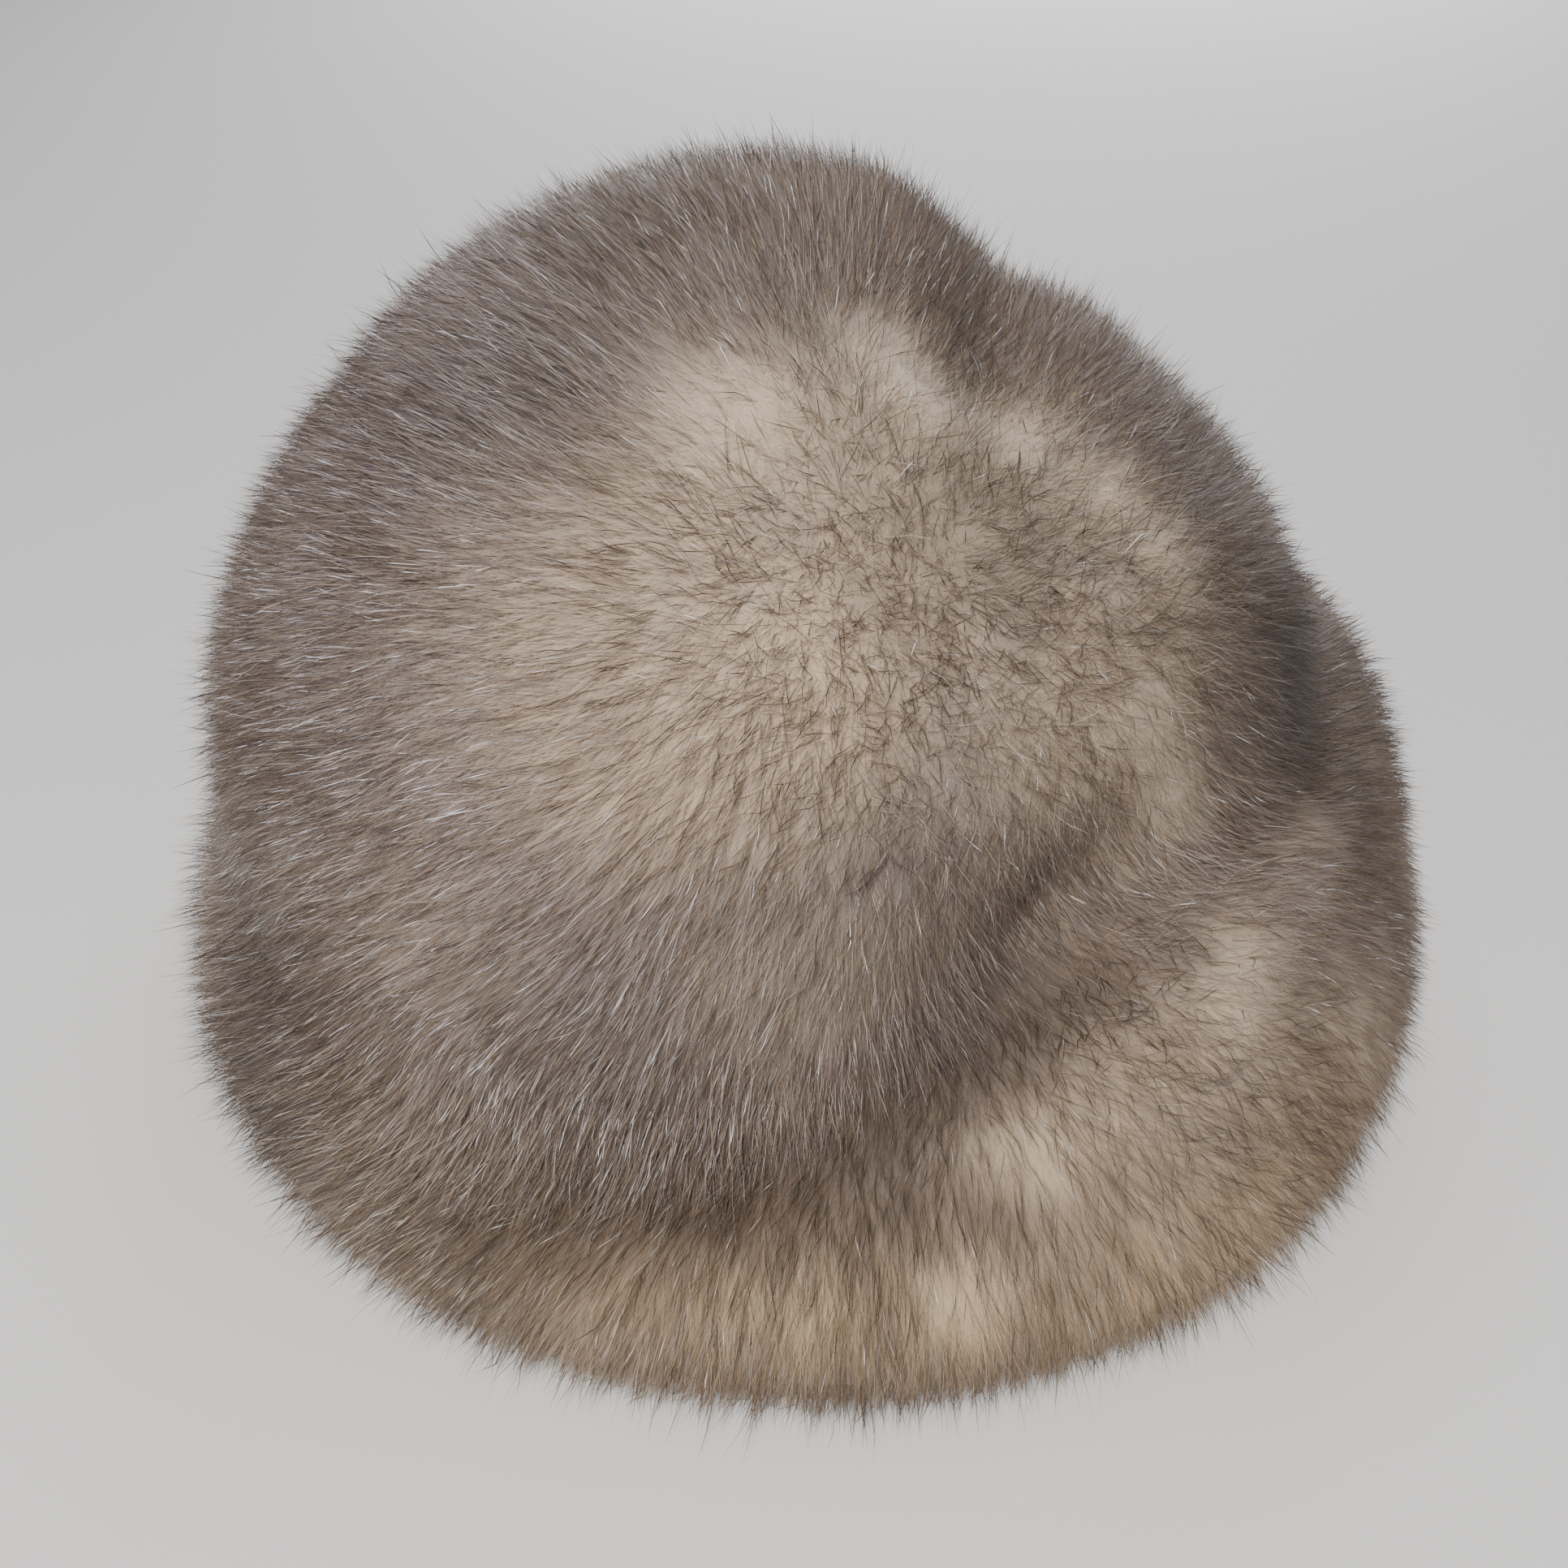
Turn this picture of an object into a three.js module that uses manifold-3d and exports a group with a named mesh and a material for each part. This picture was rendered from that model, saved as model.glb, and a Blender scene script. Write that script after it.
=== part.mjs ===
// A soft fur hat: a hollow dome of long fur, slouched to one side, over a rolled fur brim.
// Millimetres, +Z up, +Y away from the front.
// The origin is under the hat's middle, on the surface that it rests on.
import * as THREE from "three";
import { mergeVertices } from "three/addons/utils/BufferGeometryUtils.js";
import Module from "manifold-3d";

const wasm = await Module();
wasm.setup();

// Driving sizes of the whole hat, for a head of 57 cm round.
// The crown is a rounded dome above its widest level, and is tucked in below it
const CROWN_TOP = 158;
const CROWN_WIDEST_Z = 66;
const CROWN_CENTRE = { x: -13, y: 3 };
const CROWN_HALF = { x: 107, y: 108 };
const CROWN_FULLNESS = 1.8;
const TUCK_BEND = 0.3;
const FUR_WALL = 17;
const HEAD_HALF = { x: 83, y: 98 };
const HEAD_BAND_Z = 12;
const SIDE_Z = 17;
const FOOT_INSET = 7;

// The place that all hair points away from, measured from the crown's centre
const WHORL = { x: 30, y: -62 };

// The gap between crown and brim, and how steeply the seam rises outward between their fur
const SEAM_GAP = 0.4;
const SEAM_RISE = 1.1;
const FAR = 400;

// The brim by azimuth, counter-clockwise from +X: its seam with the crown, its roll's crest and its side
const BRIM = [
  { azimuth: 0, seam_r: 100, seam_z: 58, crest_r: 110, crest_z: 54, side_r: 121 },
  { azimuth: 30, seam_r: 106, seam_z: 59, crest_r: 117, crest_z: 53, side_r: 124 },
  { azimuth: 60, seam_r: 106, seam_z: 57, crest_r: 118, crest_z: 44, side_r: 124 },
  { azimuth: 90, seam_r: 105, seam_z: 50, crest_r: 116, crest_z: 40, side_r: 123 },
  { azimuth: 120, seam_r: 108, seam_z: 44, crest_r: 118, crest_z: 36, side_r: 124 },
  { azimuth: 150, seam_r: 115, seam_z: 39, crest_r: 121, crest_z: 34, side_r: 126 },
  { azimuth: 180, seam_r: 121, seam_z: 35, crest_r: 125, crest_z: 30, side_r: 128 },
  { azimuth: 210, seam_r: 123, seam_z: 30, crest_r: 126, crest_z: 26, side_r: 131 },
  { azimuth: 240, seam_r: 118, seam_z: 29, crest_r: 125, crest_z: 26, side_r: 130 },
  { azimuth: 270, seam_r: 98, seam_z: 42, crest_r: 113, crest_z: 39, side_r: 127 },
  { azimuth: 300, seam_r: 77, seam_z: 54, crest_r: 105, crest_z: 49, side_r: 126 },
  { azimuth: 330, seam_r: 90, seam_z: 56, crest_r: 103, crest_z: 51, side_r: 123 },
];

// Places where the crown's side is pressed in, about its own centre
const SIDE_DENTS = [
  { name: "front_right_dent", azimuth: -55, height: 58, spread: 25, tall: 36, depth: 29 },
  { name: "right_flat", azimuth: 10, height: 80, spread: 30, tall: 34, depth: 6 },
  { name: "left_slope", azimuth: 172, height: 115, spread: 45, tall: 38, depth: 5 },
];

// Grooves that run over the crown's top, from one point to another seen from above
const TOP_GROOVES = [
  { name: "back_right_groove", from: [18, -20], to: [39, 85], width: 14, depth: 9 },
  { name: "right_shoulder", from: [62, -5], to: [66, 60], width: 34, depth: 14 },
  { name: "front_dimple", from: [22, -52], to: [28, -36], width: 20, depth: 5 },
];

// Locks of hair lie in rings like shingles: how many lie side by side, and the size of their relief.
// They grow to their full size over the first share of the way from the whorl
const LOCKS_AROUND = 34;
const CROWN_LOCK_ROWS = 8;
const TUCK_LOCK_ROWS = 2;
const BRIM_LOCK_ROWS = 4;
const WHORL_SHARE = 0.05;
const GROWN_SHARE = 0.45;
const LOCK = { rise: 6, crest: 0.75, gap: 0.25, overhang: 0.28, zigzag: 0.24, uneven: 0.35, lean: 0.5 };
const INSIDE_ROWS = 5;

const FUR_COLOUR = new THREE.Color(0.62, 0.56, 0.5);
const FUR_ROUGHNESS = 0.75;
const { degToRad, lerp, smoothstep } = THREE.MathUtils;

// A number from 0 to 1 that looks random but is the same each time
function scatter(seed) {
  const wave = Math.sin(seed * 12.9898 + 4.1414) * 43758.5453;
  return wave - Math.floor(wave);
}

// A column of the brim's table at any azimuth, on a smooth closed curve through its rows
function brimAt(azimuth, column) {
  const place = (((azimuth % 360) + 360) % 360) / (360 / BRIM.length);
  const row = Math.floor(place);
  const share = place - row;
  const near = (k) => BRIM[(row + k + BRIM.length) % BRIM.length][column];
  const [before, from, to, after] = [-1, 0, 1, 2].map(near);
  const start = ((to - before) / 2) * share * (1 - share) ** 2;
  const end = ((after - from) / 2) * share ** 2 * (1 - share);
  return lerp(from, to, share * share * (3 - 2 * share)) + start - end;
}

function polar(azimuth, r, z) {
  return new THREE.Vector3(r * Math.cos(degToRad(azimuth)), r * Math.sin(degToRad(azimuth)), z);
}

function turnBetween(a, b) {
  return ((((a - b) % 360) + 540) % 360) - 180;
}

// Presses the dents into a point of the crown's side and the grooves into its top
function pressed(point) {
  const outward = new THREE.Vector3(point.x - CROWN_CENTRE.x, point.y - CROWN_CENTRE.y, 0);
  const azimuth = THREE.MathUtils.radToDeg(Math.atan2(outward.y, outward.x));
  const r = outward.length();
  for (const dent of SIDE_DENTS) {
    const turn = turnBetween(azimuth, dent.azimuth) / dent.spread;
    const rise = (point.z - dent.height) / dent.tall;
    const depth = dent.depth * Math.exp(-turn * turn - rise * rise) * smoothstep(r, 0, CROWN_HALF.x);
    point.addScaledVector(outward, -depth / Math.max(r, 1));
  }
  for (const groove of TOP_GROOVES) {
    const ends = [groove.from, groove.to].map(([x, y]) => new THREE.Vector3(x, y, point.z));
    const near = new THREE.Line3(...ends).closestPointToPoint(point, true, new THREE.Vector3());
    const far = near.distanceTo(point) / groove.width;
    point.z -= groove.depth * Math.exp(-far * far) * smoothstep(point.z, CROWN_WIDEST_Z, CROWN_TOP);
  }
  return point;
}

// The seam between crown and brim, moved inward by the inset
function seamPoint(azimuth, inset) {
  return polar(azimuth, brimAt(azimuth, "seam_r") - inset, brimAt(azimuth, "seam_z"));
}

// The dome's point in a direction from its centre, on a rounded surface between a ball and a box
function domePoint(direction, inset) {
  const flat = Math.hypot(direction.x, direction.y) ** CROWN_FULLNESS;
  const size = (flat + Math.abs(direction.z) ** CROWN_FULLNESS) ** (1 / CROWN_FULLNESS);
  return new THREE.Vector3(
    CROWN_CENTRE.x + (direction.x / size) * (CROWN_HALF.x - inset),
    CROWN_CENTRE.y + (direction.y / size) * (CROWN_HALF.y - inset),
    CROWN_WIDEST_Z + (direction.z / size) * (CROWN_TOP - CROWN_WIDEST_Z - inset),
  );
}

function whorlDirection() {
  const [x, y] = [WHORL.x / CROWN_HALF.x, WHORL.y / CROWN_HALF.y];
  const z = (1 - Math.hypot(x, y) ** CROWN_FULLNESS) ** (1 / CROWN_FULLNESS);
  return new THREE.Vector3(x, y, z).normalize();
}

// A point at a share of a curve, which goes straight on past its ends
function onCurve(curve, share) {
  const inside = THREE.MathUtils.clamp(share, 0, 1);
  const past = (share - inside) * curve.getLength();
  return curve.getPoint(inside).addScaledVector(curve.getTangent(inside), past);
}

// The crown's skin: along goes from 0 at the whorl over 1 at the widest level to 2 at the seam
function crownPoint(azimuth, along, inset = 0) {
  const seam = seamPoint(azimuth, inset);
  const rim = new THREE.Vector3(
    (seam.x - CROWN_CENTRE.x) / CROWN_HALF.x,
    (seam.y - CROWN_CENTRE.y) / CROWN_HALF.y,
    0,
  ).normalize();
  if (along <= 1) {
    const direction = whorlDirection();
    const angle = direction.angleTo(rim);
    direction.multiplyScalar(Math.sin((1 - along) * angle));
    direction.addScaledVector(rim, Math.sin(along * angle));
    return pressed(domePoint(direction, inset));
  }
  const widest = pressed(domePoint(rim, inset));
  const below = new THREE.Vector3(widest.x, widest.y, lerp(seam.z, widest.z, TUCK_BEND));
  return onCurve(new THREE.QuadraticBezierCurve3(widest, below, seam), along - 1);
}

// The brim's skin: along goes from 0 at the seam over the roll's crest to 1 at its foot
function brimPoint(azimuth, along) {
  const side = brimAt(azimuth, "side_r");
  const curve = new THREE.CatmullRomCurve3([
    seamPoint(azimuth, 0),
    polar(azimuth, brimAt(azimuth, "crest_r"), brimAt(azimuth, "crest_z")),
    polar(azimuth, side, SIDE_Z),
    polar(azimuth, side - FOOT_INSET, 0),
  ], false, "centripetal");
  return onCurve(curve, along);
}

function headPoint(azimuth, z) {
  const turn = degToRad(azimuth);
  return polar(azimuth, 1 / Math.hypot(Math.cos(turn) / HEAD_HALF.x, Math.sin(turn) / HEAD_HALF.y), z);
}

// A point of a skin, raised along its outward normal
function raised(surface, azimuth, along, height) {
  const step = { azimuth: 1, along: 0.01 };
  const across = surface(azimuth + step.azimuth, along).sub(surface(azimuth - step.azimuth, along));
  const down = surface(azimuth, along + step.along).sub(surface(azimuth, along - step.along));
  return surface(azimuth, along).addScaledVector(down.cross(across).normalize(), height);
}

// A ring of points, one at the middle of each lock and one at each gap between two locks
function ring(pointAt) {
  const step = 180 / LOCKS_AROUND;
  return Array.from({ length: 2 * LOCKS_AROUND }, (_, k) => pointAt(step * k, k));
}

// A row of locks from one share of a skin to the next, fused to it: rings of their roots, crests and tips.
// The tips overhang the next row, and the locks of one row lie over the gaps of the next
function lockRow(surface, from, to, row, grown = 1) {
  const shape = [
    { share: 0, lock: { height: 0, reach: 0 }, gap: { height: 0, reach: 0 } },
    { share: 0.5, lock: { height: LOCK.crest, reach: 0 }, gap: { height: LOCK.gap, reach: 0 } },
    {
      share: 1,
      lock: { height: 1, reach: LOCK.overhang + LOCK.zigzag },
      gap: { height: LOCK.crest, reach: LOCK.overhang },
    },
  ];
  return shape.map(({ share, lock, gap }) => ring((azimuth, k) => {
    const { height, reach } = (k + row) % 2 === 0 ? lock : gap;
    const seed = row * 3 * LOCKS_AROUND + k;
    const uneven = 1 + LOCK.uneven * (scatter(seed) - 0.5);
    const lean = (180 / LOCKS_AROUND) * LOCK.lean * (scatter(seed + 0.5) - 0.5) * share;
    const along = from + (to - from) * (share + reach * uneven);
    return raised(surface, azimuth + lean, along, grown * LOCK.rise * height * uneven);
  }));
}

// A closed solid from rings of points in order. Its last ring meets its first, or both close on an end point
function lofted(rings, ends = null) {
  const count = rings[0].length;
  const points = rings.flat();
  const faces = [];
  const bands = ends ? rings.length - 1 : rings.length;
  for (let band = 0; band < bands; band += 1) {
    const upper = ((band + 1) % rings.length) * count;
    for (let k = 0; k < count; k += 1) {
      const [a, b] = [band * count + k, band * count + ((k + 1) % count)];
      const [c, d] = [upper + ((k + 1) % count), upper + k];
      faces.push(a, c, b, a, d, c);
    }
  }
  if (ends) {
    const last = (rings.length - 1) * count;
    for (let k = 0; k < count; k += 1) {
      const next = (k + 1) % count;
      faces.push(points.length, k, next, points.length + 1, last + next, last + k);
    }
    points.push(...ends);
  }
  return solid(points, faces);
}

function solid(points, faces) {
  const vertProperties = new Float32Array(points.flatMap((p) => [p.x, p.y, p.z]));
  return new wasm.Manifold(new wasm.Mesh({ numProp: 3, vertProperties, triVerts: new Uint32Array(faces) }));
}

// The crown's wall: the locks from the whorl to the seam, then the plain inside back up to its top
function crownWall() {
  const rings = [];
  const rows = CROWN_LOCK_ROWS + TUCK_LOCK_ROWS;
  const edge = (row) => (row <= CROWN_LOCK_ROWS
    ? lerp(WHORL_SHARE, 1, row / CROWN_LOCK_ROWS)
    : 1 + (row - CROWN_LOCK_ROWS) / TUCK_LOCK_ROWS);
  for (let row = 0; row < rows; row += 1) {
    const grown = smoothstep(edge(row + 1), 0, GROWN_SHARE);
    rings.push(...lockRow(crownPoint, edge(row), edge(row + 1), row, grown));
  }
  rings.push(ring((azimuth) => crownPoint(azimuth, 2)));
  for (let row = 0; row < INSIDE_ROWS; row += 1) {
    const along = lerp(2, 2 * WHORL_SHARE, row / (INSIDE_ROWS - 1));
    rings.push(ring((azimuth) => crownPoint(azimuth, along, FUR_WALL)));
  }
  return lofted(rings, [crownPoint(0, 0), crownPoint(0, 0, FUR_WALL)]);
}

// The brim's ring: its locks from the seam to the foot, the flat underside, the head band and the seam
function brimWall() {
  const rings = [];
  for (let row = 0; row < BRIM_LOCK_ROWS; row += 1) {
    rings.push(...lockRow(brimPoint, row / BRIM_LOCK_ROWS, (row + 1) / BRIM_LOCK_ROWS, row));
  }
  rings.push(ring((azimuth) => brimPoint(azimuth, 1)));
  rings.push(ring((azimuth) => headPoint(azimuth, 0)));
  rings.push(ring((azimuth) => headPoint(azimuth, HEAD_BAND_Z)));
  rings.push(ring((azimuth) => seamPoint(azimuth, FUR_WALL)));
  return lofted(rings);
}

// All space on one side of the seam, half the gap short of it: way is 1 above it and -1 below it
function seamSide(way) {
  const shift = new THREE.Vector3(0, 0, (way * SEAM_GAP) / 2);
  const rise = new THREE.Vector3(0, 0, FAR * SEAM_RISE);
  const rings = [
    ring((azimuth) => seamPoint(azimuth, 2 * FUR_WALL).add(shift)),
    ring((azimuth) => seamPoint(azimuth, 0).add(shift)),
    ring((azimuth) => seamPoint(azimuth, -FAR).add(shift).add(rise)),
    ring((azimuth) => seamPoint(azimuth, -FAR).setZ(way * 2 * FAR)),
  ];
  const ends = [polar(0, 0, brimAt(0, "seam_z")).add(shift), polar(0, 0, way * 2 * FAR)];
  if (way > 0) return lofted(rings.reverse(), ends.reverse());
  return lofted(rings, ends);
}

function floorSpace() {
  const geometry = new THREE.BoxGeometry(2 * FAR, 2 * FAR, FAR);
  geometry.translate(0, 0, -FAR / 2);
  geometry.deleteAttribute("normal");
  geometry.deleteAttribute("uv");
  const merged = mergeVertices(geometry);
  const corners = merged.getAttribute("position");
  const pointOf = (_, k) => new THREE.Vector3().fromBufferAttribute(corners, k);
  return solid(Array.from({ length: corners.count }, pointOf), Array.from(merged.getIndex().array));
}

function geometryOf(body) {
  const mesh = body.getMesh();
  const geometry = new THREE.BufferGeometry();
  const positions = new Float32Array(mesh.vertProperties);
  geometry.setAttribute("position", new THREE.BufferAttribute(positions, mesh.numProp));
  geometry.setIndex(new THREE.BufferAttribute(new Uint32Array(mesh.triVerts), 1));
  return mergeVertices(geometry);
}

const bodies = {
  crown: crownWall().intersect(seamSide(1)),
  brim: brimWall().intersect(seamSide(-1)).subtract(floorSpace()),
};

// Each piece is moved so that the middle of the whole hat is over the origin
const hat = new THREE.Group();
const look = { color: FUR_COLOUR, roughness: FUR_ROUGHNESS, metalness: 0 };
for (const [name, body] of Object.entries(bodies)) {
  const mesh = new THREE.Mesh(geometryOf(body), new THREE.MeshStandardMaterial(look));
  mesh.name = name;
  hat.add(mesh);
}
const middle = new THREE.Box3().setFromObject(hat, true).getCenter(new THREE.Vector3());
for (const mesh of hat.children) mesh.position.set(-middle.x, -middle.y, 0);

export default hat;
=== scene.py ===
"""A soft fur hat: pale underfur and long guard hair over its solid crown and brim.

All points are in millimetres until a mesh is made of them, in metres.
"""

import math

import bpy
import numpy as np
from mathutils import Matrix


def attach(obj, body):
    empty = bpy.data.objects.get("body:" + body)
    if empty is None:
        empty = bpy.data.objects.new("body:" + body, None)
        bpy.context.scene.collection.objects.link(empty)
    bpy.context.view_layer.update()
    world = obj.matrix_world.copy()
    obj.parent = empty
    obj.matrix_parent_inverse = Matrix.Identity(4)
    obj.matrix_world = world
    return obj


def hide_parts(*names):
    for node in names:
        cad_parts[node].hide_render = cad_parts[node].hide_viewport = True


MM = 0.001
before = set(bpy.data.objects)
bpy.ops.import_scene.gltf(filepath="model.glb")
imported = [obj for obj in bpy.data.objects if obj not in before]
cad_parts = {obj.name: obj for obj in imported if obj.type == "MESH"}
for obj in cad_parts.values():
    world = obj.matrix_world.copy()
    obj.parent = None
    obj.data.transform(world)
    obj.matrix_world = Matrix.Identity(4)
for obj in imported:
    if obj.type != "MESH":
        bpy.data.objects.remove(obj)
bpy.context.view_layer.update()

# Sizes of the hat's form, as its solids have them
CROWN_TOP = 158.0
CROWN_WIDEST_Z = 66.0
CROWN_CENTRE = np.array([-13.0, 3.0])
CROWN_HALF = np.array([107.0, 108.0])
CROWN_FULLNESS = 1.8
TUCK_BEND = 0.3
FUR_WALL = 17.0
HEAD_HALF = (83.0, 98.0)
HEAD_BAND_Z = 12.0
SIDE_Z = 17.0
FOOT_INSET = 7.0
WHORL = np.array([30.0, -62.0])

# The move that puts the middle of the hat's box over the origin
MIDDLE = np.array([3.389, 1.111, 0.0])

# The brim by azimuth, from +X on in equal steps: seam_r, seam_z, crest_r, crest_z, side_r
BRIM_STEP = 30
BRIM = np.array([
    [100, 58, 110, 54, 121],
    [106, 59, 117, 53, 124],
    [106, 57, 118, 44, 124],
    [105, 50, 116, 40, 123],
    [108, 44, 118, 36, 124],
    [115, 39, 121, 34, 126],
    [121, 35, 125, 30, 128],
    [123, 30, 126, 26, 131],
    [118, 29, 125, 26, 130],
    [98, 42, 113, 39, 127],
    [77, 54, 105, 49, 126],
    [90, 56, 103, 51, 123],
], float)
SEAM_R, SEAM_Z, CREST_R, CREST_Z, SIDE_R = range(5)

# The brim's curve has three spans, and goes straight on past its ends by so much for each unit
BRIM_SPANS = 3
BRIM_PAST = 60

# Azimuth, height, spread, tall and depth of each dent in the crown's side
SIDE_DENTS = [(-55, 58, 25, 36, 29), (10, 80, 30, 34, 6), (172, 115, 45, 38, 5)]

# From, to, width and depth of each groove over its top
TOP_GROOVES = [
    ((18, -20), (39, 85), 14, 9),
    ((62, -5), (66, 60), 34, 14),
    ((22, -52), (28, -36), 20, 5),
]

# How far the seam is felt, how much the coat fills it, and how far the hair turns out over it
SEAM_REACH = 12.0
SEAM_FILL = 3.0
SEAM_TURN = 1.6
OUT_AND_UP = 0.7

# The hair runs away from the whorl, and this much of its way is straight down the skin
DOWNHILL = 0.25

# Steps over which a skin's slope is taken, in degrees of azimuth and in shares along it
AZIMUTH_STEP = 1
ALONG_STEP = 0.01


def smooth(value, low, high):
    share = np.clip((value - low) / (high - low), 0, 1)
    return share * share * (3 - 2 * share)


def unit(v):
    return v / np.maximum(np.linalg.norm(v, axis=-1, keepdims=True), 1e-12)


def off_line(points, a, b):
    """How far points lie from the straight line between a and b."""
    share = np.clip(((points - a) @ (b - a)) / ((b - a) @ (b - a)), 0, 1)
    return np.linalg.norm(points - (a + share[..., None] * (b - a)), axis=-1)


def brim_at(azimuth, column):
    """A column of the brim's table at any azimuth, on a smooth curve through its rows."""
    place = (azimuth % 360) / BRIM_STEP
    row = np.floor(place).astype(int)
    share = place - row
    before, low, high, after = (BRIM[(row + k) % len(BRIM), column] for k in (-1, 0, 1, 2))
    start = (high - before) / 2 * share * (1 - share) ** 2
    end = (after - low) / 2 * share ** 2 * (1 - share)
    return low + (high - low) * share * share * (3 - 2 * share) + start - end


def polar(azimuth, r, z):
    turn = np.radians(azimuth)
    return np.stack(np.broadcast_arrays(r * np.cos(turn), r * np.sin(turn), z), -1)


def pressed(point):
    """Points of the dome with the dents of its side and the grooves of its top pressed in."""
    point = point.copy()
    out = point[..., :2] - CROWN_CENTRE
    azimuth = np.degrees(np.arctan2(out[..., 1], out[..., 0]))
    r = np.linalg.norm(out, axis=-1)
    for at, height, spread, tall, depth in SIDE_DENTS:
        turn = ((azimuth - at + 540) % 360 - 180) / spread
        rise = (point[..., 2] - height) / tall
        push = depth * np.exp(-turn ** 2 - rise ** 2) * smooth(r, 0, CROWN_HALF[0])
        point[..., :2] -= out * (push / np.maximum(r, 1))[..., None]
        out = point[..., :2] - CROWN_CENTRE
    for low, high, width, depth in TOP_GROOVES:
        far = off_line(point[..., :2], np.array(low, float), np.array(high, float)) / width
        sink = depth * np.exp(-far ** 2) * smooth(point[..., 2], CROWN_WIDEST_Z, CROWN_TOP)
        point[..., 2] -= sink
    return point


def seam_point(azimuth, inset=0.0):
    return polar(azimuth, brim_at(azimuth, SEAM_R) - inset, brim_at(azimuth, SEAM_Z))


def dome_point(direction, inset):
    """Where a direction from the middle of the crown's widest level meets its rounded dome."""
    flat = np.hypot(direction[..., 0], direction[..., 1]) ** CROWN_FULLNESS
    size = (flat + np.abs(direction[..., 2]) ** CROWN_FULLNESS) ** (1 / CROWN_FULLNESS)
    scaled = direction / size[..., None]
    half = np.array([*CROWN_HALF, CROWN_TOP - CROWN_WIDEST_Z]) - inset
    return np.array([*CROWN_CENTRE, CROWN_WIDEST_Z]) + scaled * half


def whorl_direction():
    x, y = WHORL / CROWN_HALF
    z = (1 - math.hypot(x, y) ** CROWN_FULLNESS) ** (1 / CROWN_FULLNESS)
    return unit(np.array([x, y, z]))


def crown_point(azimuth, along, inset=0.0):
    """The crown's skin: along is 0 at the whorl, 1 at the widest level and 2 at the seam."""
    azimuth, along = np.broadcast_arrays(np.asarray(azimuth, float), np.asarray(along, float))
    seam = seam_point(azimuth, inset)
    rim = np.concatenate([(seam[..., :2] - CROWN_CENTRE) / CROWN_HALF, 0 * seam[..., :1]], -1)
    rim = unit(rim)
    top = whorl_direction()
    angle = np.arccos(np.clip(rim @ top, -1, 1))
    near = np.sin((1 - along) * angle)[..., None] * top + np.sin(along * angle)[..., None] * rim
    upper = pressed(dome_point(near, inset))
    widest = pressed(dome_point(rim, inset))
    below = widest.copy()
    below[..., 2] = seam[..., 2] + (widest[..., 2] - seam[..., 2]) * TUCK_BEND
    t = np.clip(along - 1, 0, 1)[..., None]
    past = (np.maximum(along - 2, 0) * np.linalg.norm(seam - widest, axis=-1))[..., None]
    lower = widest * (1 - t) ** 2 + below * 2 * t * (1 - t) + seam * t * t
    lower = lower + unit(seam - below) * past
    return np.where((along <= 1)[..., None], upper, lower)


def brim_point(azimuth, along):
    """The brim's skin: along goes from 0 at the seam over the roll's crest to 1 at its foot."""
    azimuth, along = np.broadcast_arrays(np.asarray(azimuth, float), np.asarray(along, float))
    side = brim_at(azimuth, SIDE_R)
    points = np.stack([
        seam_point(azimuth),
        polar(azimuth, brim_at(azimuth, CREST_R), brim_at(azimuth, CREST_Z)),
        polar(azimuth, side, SIDE_Z + 0 * side),
        polar(azimuth, side - FOOT_INSET, 0 * side),
    ])
    points = np.concatenate([
        2 * points[:1] - points[1:2], points, 2 * points[-1:] - points[-2:-1],
    ])
    inside = np.clip(along, 0, 1)
    row = np.minimum(np.floor(inside * BRIM_SPANS).astype(int), BRIM_SPANS - 1)
    t = (inside * BRIM_SPANS - row)[..., None]

    def pick(k):
        return np.take_along_axis(points, (row + k)[None, ..., None], 0)[0]

    p0, p1, p2, p3 = pick(0), pick(1), pick(2), pick(3)
    d0, d1, d2 = (np.sqrt(np.linalg.norm(b - a, axis=-1))[..., None]
                  for a, b in ((p0, p1), (p1, p2), (p2, p3)))
    t1 = ((p1 - p0) / d0 - (p2 - p0) / (d0 + d1) + (p2 - p1) / d1) * d1
    t2 = ((p2 - p1) / d1 - (p3 - p1) / (d1 + d2) + (p3 - p2) / d2) * d1
    squared, cubed = 3 * (p2 - p1) - 2 * t1 - t2, 2 * (p1 - p2) + t1 + t2
    at = p1 + t1 * t + squared * t ** 2 + cubed * t ** 3
    slope = t1 + 2 * squared * t + 3 * cubed * t ** 2
    return at + unit(slope) * (along - inside)[..., None] * BRIM_PAST


def seam_share(points):
    """1 on the seam between crown and brim, and 0 far from it."""
    azimuth = np.degrees(np.arctan2(points[..., 1], points[..., 0]))
    return np.exp(-(np.linalg.norm(points - seam_point(azimuth), axis=-1) / SEAM_REACH) ** 2)


WHORL_POINT = crown_point(0.0, 0.0)


def skin_frame(surface, azimuth, along):
    """Place, the coat's outward normal, the way its hair flows, and the way across it."""
    at = surface(azimuth, along)
    across = surface(azimuth + AZIMUTH_STEP, along) - surface(azimuth - AZIMUTH_STEP, along)
    down = surface(azimuth, along + ALONG_STEP) - surface(azimuth, along - ALONG_STEP)
    normal = unit(np.cross(down, across))
    over_seam = polar(np.degrees(np.arctan2(at[..., 1], at[..., 0])), OUT_AND_UP, OUT_AND_UP)
    normal = unit(normal + SEAM_TURN * seam_share(at)[..., None] * over_seam)
    away = unit(at - WHORL_POINT) + DOWNHILL * unit(down)
    flow = unit(away - normal * np.sum(away * normal, -1, keepdims=True))
    return at, normal, flow, unit(np.cross(normal, flow))


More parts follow.
